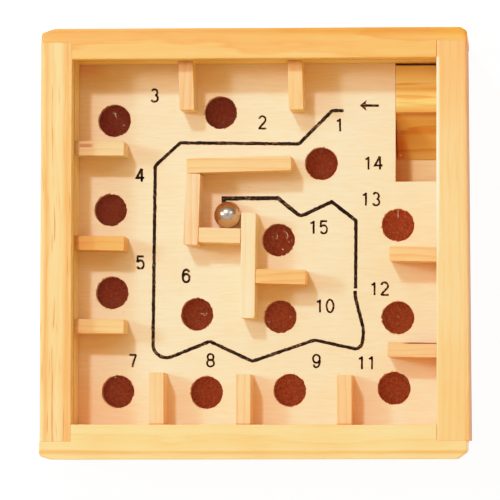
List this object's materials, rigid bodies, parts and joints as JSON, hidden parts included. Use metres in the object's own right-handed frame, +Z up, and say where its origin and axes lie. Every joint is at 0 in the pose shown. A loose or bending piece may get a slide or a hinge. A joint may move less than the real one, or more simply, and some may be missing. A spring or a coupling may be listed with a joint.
{
  "type": "tilt maze game",
  "caption": "Square wooden box with a holed maze board, glued dividers, a return ramp, a clear cover and a free steel ball.",
  "frame": {"origin": "middle of the underside of the frame", "axes": "+X to the player's right, +Y away from the player, +Z up out of the board"},
  "size_m": [0.1254, 0.126, 0.0352],
  "materials": {
    "frame_wood": "sanded pine, thinly varnished",
    "divider_wood": "sanded pine strip",
    "board_plywood": "pale rotary-cut plywood, printed in black",
    "base_plywood": "pale plywood",
    "ramp_wood": "sawn pine with bands across the slope",
    "clear_acrylic": "clear, lightly scratched",
    "polished_steel": "polished"
  },
  "bodies": {
    "box": {"north_bar": "frame_wood", "south_bar": "frame_wood", "west_bar": "frame_wood", "east_bar": "frame_wood", "base_panel": "base_plywood", "maze_board": "board_plywood", "return_ramp": "ramp_wood", "clear_cover": "clear_acrylic", "divider_west_1": "divider_wood", "divider_west_2": "divider_wood", "divider_west_3": "divider_wood", "divider_east_1": "divider_wood", "divider_east_2": "divider_wood", "divider_north_1": "divider_wood", "divider_north_2": "divider_wood", "divider_south_1": "divider_wood", "divider_south_2": "divider_wood", "divider_south_3": "divider_wood", "divider_centre_1": "divider_wood", "divider_centre_2": "divider_wood", "divider_centre_3": "divider_wood", "divider_centre_4": "divider_wood", "divider_centre_5": "divider_wood"},
    "ball": {"steel_ball": "polished_steel"}
  },
  "joints": [
    {"name": "ball_roll", "type": "slide", "parent": "box", "child": "ball", "axis": [0, 1, 0], "range_m": [0, 0.008]}
  ]
}
